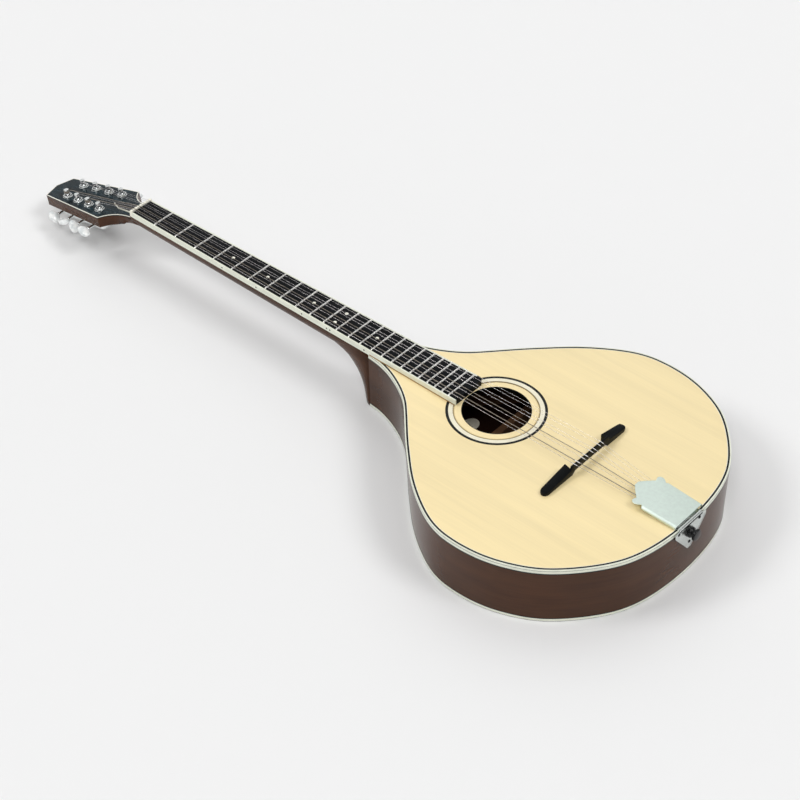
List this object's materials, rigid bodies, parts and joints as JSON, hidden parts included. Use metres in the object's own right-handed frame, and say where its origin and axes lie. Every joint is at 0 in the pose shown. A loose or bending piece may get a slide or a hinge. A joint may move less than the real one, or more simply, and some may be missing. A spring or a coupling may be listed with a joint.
{
  "type": "irish bouzouki",
  "caption": "Long-necked folk string instrument with a flat-backed teardrop body, round sound hole, floating bridge, covered tailpiece and geared tuners under a tilted headstock.",
  "frame": {"origin": "middle of the footprint, on the plane that the flat back lies on", "axes": "+Y along the neck towards the headstock, +Z out of the soundboard, +X towards the treble side"},
  "size_m": [0.3554, 0.9652, 0.0879],
  "materials": {
    "spruce": "gloss",
    "mahogany": "gloss",
    "inner_wood": "raw",
    "binding": "gloss",
    "rosette": "gloss",
    "rosewood": "satin",
    "black_lacquer": "gloss",
    "ebonised_wood": "gloss",
    "bone": "satin",
    "nickel": "polished",
    "steel": "plain",
    "bronze": "plain",
    "pearloid": "gloss",
    "black_plastic": "gloss"
  },
  "bodies": {
    "instrument": {"soundboard": "spruce", "back_plate": "mahogany", "side_bass": "mahogany", "side_treble": "mahogany", "top_binding": "binding", "back_binding": "binding", "top_lining": "inner_wood", "back_lining": "inner_wood", "neck_block": "inner_wood", "tail_block": "inner_wood", "top_brace_upper": "inner_wood", "top_brace_lower": "inner_wood", "back_brace_upper": "inner_wood", "back_brace_lower": "inner_wood", "rosette": "rosette", "neck": "mahogany", "truss_rod": "steel", "fingerboard": "rosewood", "fingerboard_binding_bass": "binding", "fingerboard_binding_treble": "binding", "nut": "bone", "bridge": "ebonised_wood", "headstock_veneer": "black_lacquer", "headstock_binding": "binding", "truss_rod_cover": "black_plastic", "tailpiece_base": "nickel", "strap_button": "black_plastic", "string_1": "steel", "string_2": "bronze", "string_3": "steel", "string_4": "bronze", "string_5": "steel", "string_6": "steel", "string_7": "steel", "string_8": "steel", "tuner_bass_1_housing": "nickel", "tuner_bass_2_housing": "nickel", "tuner_bass_3_housing": "nickel", "tuner_bass_4_housing": "nickel", "tuner_treble_1_housing": "nickel", "tuner_treble_2_housing": "nickel", "tuner_treble_3_housing": "nickel", "tuner_treble_4_housing": "nickel"},
    "tailpiece_cover": {"tailpiece_cover": "nickel"},
    "tuner_bass_1_post": {"tuner_bass_1_post": "nickel"},
    "tuner_bass_1_button": {"tuner_bass_1_button": "pearloid"},
    "tuner_bass_2_post": {"tuner_bass_2_post": "nickel"},
    "tuner_bass_2_button": {"tuner_bass_2_button": "pearloid"},
    "tuner_bass_3_post": {"tuner_bass_3_post": "nickel"},
    "tuner_bass_3_button": {"tuner_bass_3_button": "pearloid"},
    "tuner_bass_4_post": {"tuner_bass_4_post": "nickel"},
    "tuner_bass_4_button": {"tuner_bass_4_button": "pearloid"},
    "tuner_treble_1_post": {"tuner_treble_1_post": "nickel"},
    "tuner_treble_1_button": {"tuner_treble_1_button": "pearloid"},
    "tuner_treble_2_post": {"tuner_treble_2_post": "nickel"},
    "tuner_treble_2_button": {"tuner_treble_2_button": "pearloid"},
    "tuner_treble_3_post": {"tuner_treble_3_post": "nickel"},
    "tuner_treble_3_button": {"tuner_treble_3_button": "pearloid"},
    "tuner_treble_4_post": {"tuner_treble_4_post": "nickel"},
    "tuner_treble_4_button": {"tuner_treble_4_button": "pearloid"}
  },
  "joints": [
    {"name": "tuner_bass_1_button_turn", "type": "hinge", "parent": "instrument", "child": "tuner_bass_1_button", "pos_m": [-0.0184, 0.38343, 0.03901], "axis": [-1, 0, 0], "continuous": true},
    {"name": "tuner_bass_1_post_turn", "type": "hinge", "parent": "instrument", "child": "tuner_bass_1_post", "pos_m": [-0.0184, 0.38058, 0.05827], "axis": [0, 0.2215, 0.9751], "continuous": true},
    {"name": "tuner_bass_2_button_turn", "type": "hinge", "parent": "instrument", "child": "tuner_bass_2_button", "pos_m": [-0.0166, 0.40498, 0.03411], "axis": [-1, 0, 0], "continuous": true},
    {"name": "tuner_bass_2_post_turn", "type": "hinge", "parent": "instrument", "child": "tuner_bass_2_post", "pos_m": [-0.0166, 0.40213, 0.05338], "axis": [0, 0.2215, 0.9751], "continuous": true},
    {"name": "tuner_bass_3_button_turn", "type": "hinge", "parent": "instrument", "child": "tuner_bass_3_button", "pos_m": [-0.0148, 0.42654, 0.02922], "axis": [-1, 0, 0], "continuous": true},
    {"name": "tuner_bass_3_post_turn", "type": "hinge", "parent": "instrument", "child": "tuner_bass_3_post", "pos_m": [-0.0148, 0.42368, 0.04848], "axis": [0, 0.2215, 0.9751], "continuous": true},
    {"name": "tuner_bass_4_button_turn", "type": "hinge", "parent": "instrument", "child": "tuner_bass_4_button", "pos_m": [-0.013, 0.44809, 0.02432], "axis": [-1, 0, 0], "continuous": true},
    {"name": "tuner_bass_4_post_turn", "type": "hinge", "parent": "instrument", "child": "tuner_bass_4_post", "pos_m": [-0.013, 0.44523, 0.04358], "axis": [0, 0.2215, 0.9751], "continuous": true},
    {"name": "tuner_treble_1_button_turn", "type": "hinge", "parent": "instrument", "child": "tuner_treble_1_button", "pos_m": [0.0184, 0.38343, 0.03901], "axis": [1, 0, 0], "continuous": true},
    {"name": "tuner_treble_1_post_turn", "type": "hinge", "parent": "instrument", "child": "tuner_treble_1_post", "pos_m": [0.0184, 0.38058, 0.05827], "axis": [0, 0.2215, 0.9751], "continuous": true},
    {"name": "tuner_treble_2_button_turn", "type": "hinge", "parent": "instrument", "child": "tuner_treble_2_button", "pos_m": [0.0166, 0.40498, 0.03411], "axis": [1, 0, 0], "continuous": true},
    {"name": "tuner_treble_2_post_turn", "type": "hinge", "parent": "instrument", "child": "tuner_treble_2_post", "pos_m": [0.0166, 0.40213, 0.05338], "axis": [0, 0.2215, 0.9751], "continuous": true},
    {"name": "tuner_treble_3_button_turn", "type": "hinge", "parent": "instrument", "child": "tuner_treble_3_button", "pos_m": [0.0148, 0.42654, 0.02922], "axis": [1, 0, 0], "continuous": true},
    {"name": "tuner_treble_3_post_turn", "type": "hinge", "parent": "instrument", "child": "tuner_treble_3_post", "pos_m": [0.0148, 0.42368, 0.04848], "axis": [0, 0.2215, 0.9751], "continuous": true},
    {"name": "tuner_treble_4_button_turn", "type": "hinge", "parent": "instrument", "child": "tuner_treble_4_button", "pos_m": [0.013, 0.44809, 0.02432], "axis": [1, 0, 0], "continuous": true},
    {"name": "tuner_treble_4_post_turn", "type": "hinge", "parent": "instrument", "child": "tuner_treble_4_post", "pos_m": [0.013, 0.44523, 0.04358], "axis": [0, 0.2215, 0.9751], "continuous": true},
    {"name": "tailpiece_cover_slide", "type": "slide", "parent": "instrument", "child": "tailpiece_cover", "axis": [0, 0.9985, 0.0541], "range_m": [0, 0.008]}
  ],
  "couplings": [
    {"joint": "tuner_bass_1_post_turn", "follows": "tuner_bass_1_button_turn", "ratio": 0.0625},
    {"joint": "tuner_bass_2_post_turn", "follows": "tuner_bass_2_button_turn", "ratio": 0.0625},
    {"joint": "tuner_bass_3_post_turn", "follows": "tuner_bass_3_button_turn", "ratio": 0.0625},
    {"joint": "tuner_bass_4_post_turn", "follows": "tuner_bass_4_button_turn", "ratio": 0.0625},
    {"joint": "tuner_treble_1_post_turn", "follows": "tuner_treble_1_button_turn", "ratio": -0.0625},
    {"joint": "tuner_treble_2_post_turn", "follows": "tuner_treble_2_button_turn", "ratio": -0.0625},
    {"joint": "tuner_treble_3_post_turn", "follows": "tuner_treble_3_button_turn", "ratio": -0.0625},
    {"joint": "tuner_treble_4_post_turn", "follows": "tuner_treble_4_button_turn", "ratio": -0.0625}
  ]
}
